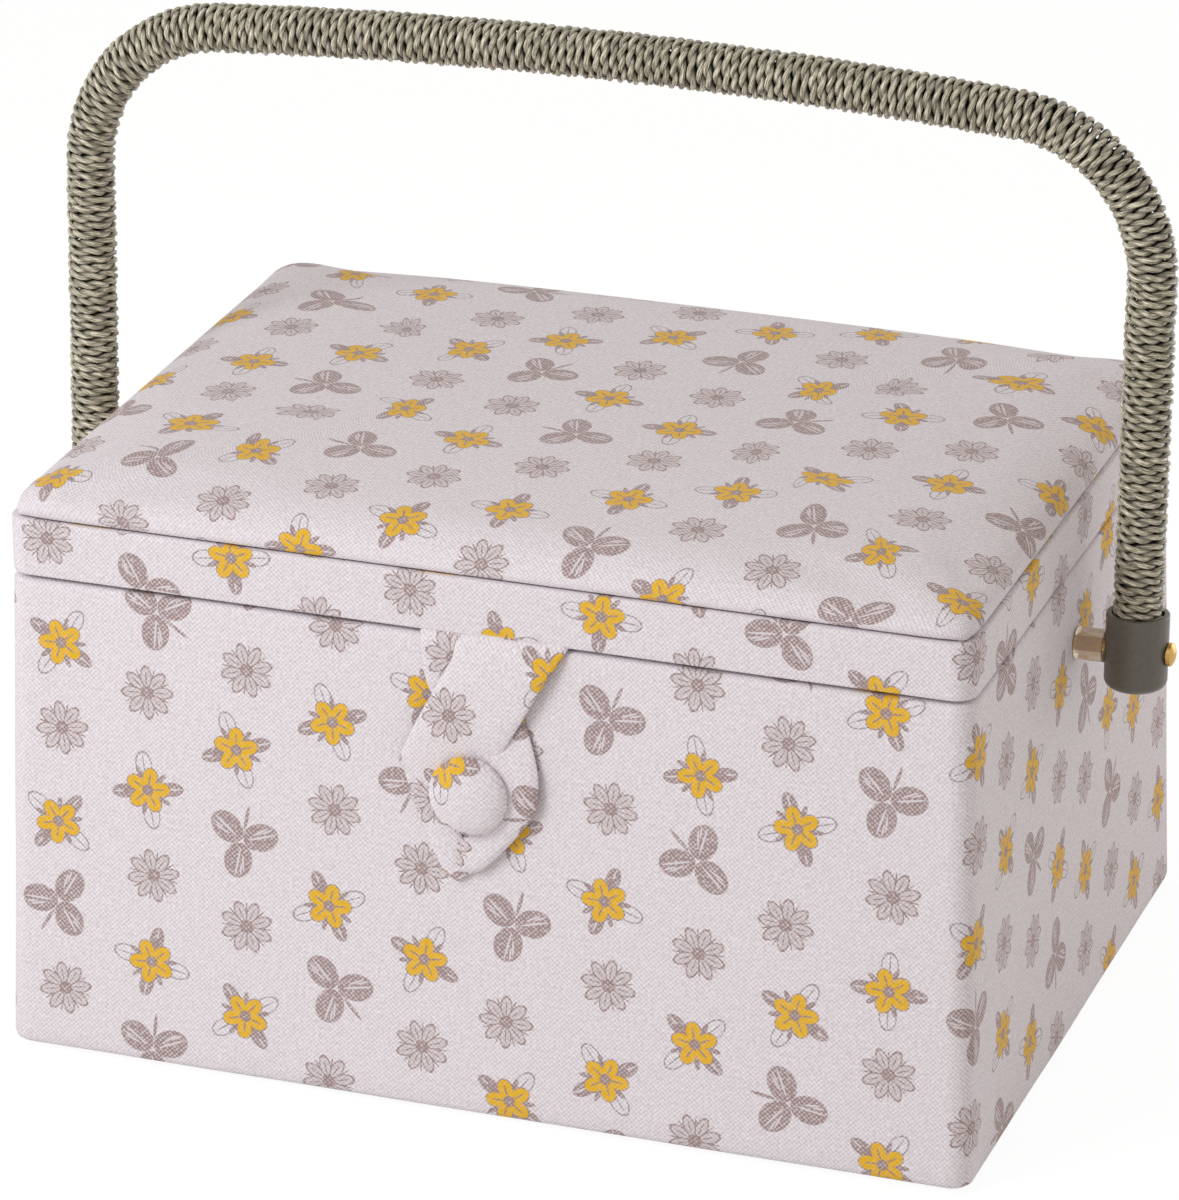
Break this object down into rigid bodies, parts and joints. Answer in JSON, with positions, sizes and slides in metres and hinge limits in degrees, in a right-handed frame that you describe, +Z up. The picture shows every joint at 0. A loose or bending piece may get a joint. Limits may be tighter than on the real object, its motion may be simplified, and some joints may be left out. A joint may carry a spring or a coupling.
{
  "type": "sewing box",
  "caption": "Rectangular cloth-covered sewing box with a padded hinged lid, a cord-wound swing handle, a cloth loop-and-button closure and a lift-out tray.",
  "frame": {"origin": "middle of the base, on the surface that the box stands on", "axes": "+X along the front to the right, +Y from the front to the back, +Z up"},
  "size_m": [0.3146, 0.2062, 0.2636],
  "materials": {
    "printed_cotton": "plain-woven cotton with a small floral print",
    "lining_cotton": "plain padded lining cloth",
    "pincushion_cloth": "mauve cotton over stuffing",
    "polyester_wadding": "white polyester wadding",
    "greyboard": "pressed grey bookbinding board",
    "base_paper": "smooth backing card",
    "brass": "plain turned brass",
    "clear_plastic": "clear moulded plastic",
    "cap_plastic": "grey-green moulded plastic",
    "paper_cord": "twisted sage-grey paper cord",
    "core_steel": "bent steel rod",
    "button_plastic": "moulded plastic button back",
    "tray_plastic": "white moulded plastic"
  },
  "bodies": {
    "box": {"base_panel": "base_paper", "floor_board": "greyboard", "front_board": "greyboard", "back_board": "greyboard", "left_board": "greyboard", "right_board": "greyboard", "wall_wadding": "polyester_wadding", "outer_cover": "printed_cotton", "wall_lining": "lining_cotton", "floor_lining": "lining_cotton", "tray_ledge_left": "greyboard", "tray_ledge_right": "greyboard", "button_dome": "printed_cotton", "button_shank": "button_plastic", "button_anchor": "button_plastic", "hinge_cloth_lower": "printed_cotton", "pivot_bolt_left": "brass", "pivot_bolt_right": "brass", "pivot_spacer_left": "clear_plastic", "pivot_spacer_right": "clear_plastic", "pivot_nuts": "brass"},
    "lid": {"lid_strip_front": "greyboard", "lid_strip_back": "greyboard", "lid_strip_left": "greyboard", "lid_strip_right": "greyboard", "lid_panel": "greyboard", "lid_band_cover": "printed_cotton", "lid_padding": "polyester_wadding", "lid_top_cover": "printed_cotton", "lid_lining": "lining_cotton", "pincushion": "pincushion_cloth", "hinge_cloth_upper": "printed_cotton", "strap_tab": "printed_cotton"},
    "loop": {"closure_loop": "printed_cotton"},
    "handle": {"handle_core": "core_steel", "handle_wrap_left": "paper_cord", "handle_wrap_right": "paper_cord", "handle_cap_left": "cap_plastic", "handle_cap_right": "cap_plastic"},
    "tray": {"tray": "tray_plastic"}
  },
  "joints": [
    {"name": "lid_hinge", "type": "hinge", "parent": "box", "child": "lid", "pos_m": [0, 0.0961, 0.13425], "axis": [-1, 0, 0], "range_deg": [0, 100]},
    {"name": "handle_swing", "type": "hinge", "parent": "box", "child": "handle", "pos_m": [0, 0, 0.1126], "axis": [-1, 0, 0], "range_deg": [-125, 120]},
    {"name": "loop_flap", "type": "hinge", "parent": "lid", "child": "loop", "pos_m": [0.00885, -0.0963, 0.13405], "axis": [-1, 0, 0], "range_deg": [0, 150], "deforming": ["closure_loop"]},
    {"name": "tray_lift", "type": "slide", "parent": "box", "child": "tray", "axis": [0, 0, 1], "range_m": [0, 0.006]}
  ],
  "couplings": [
    {"joint": "handle_swing", "follows": "lid_hinge", "ratio": 1.15}
  ]
}
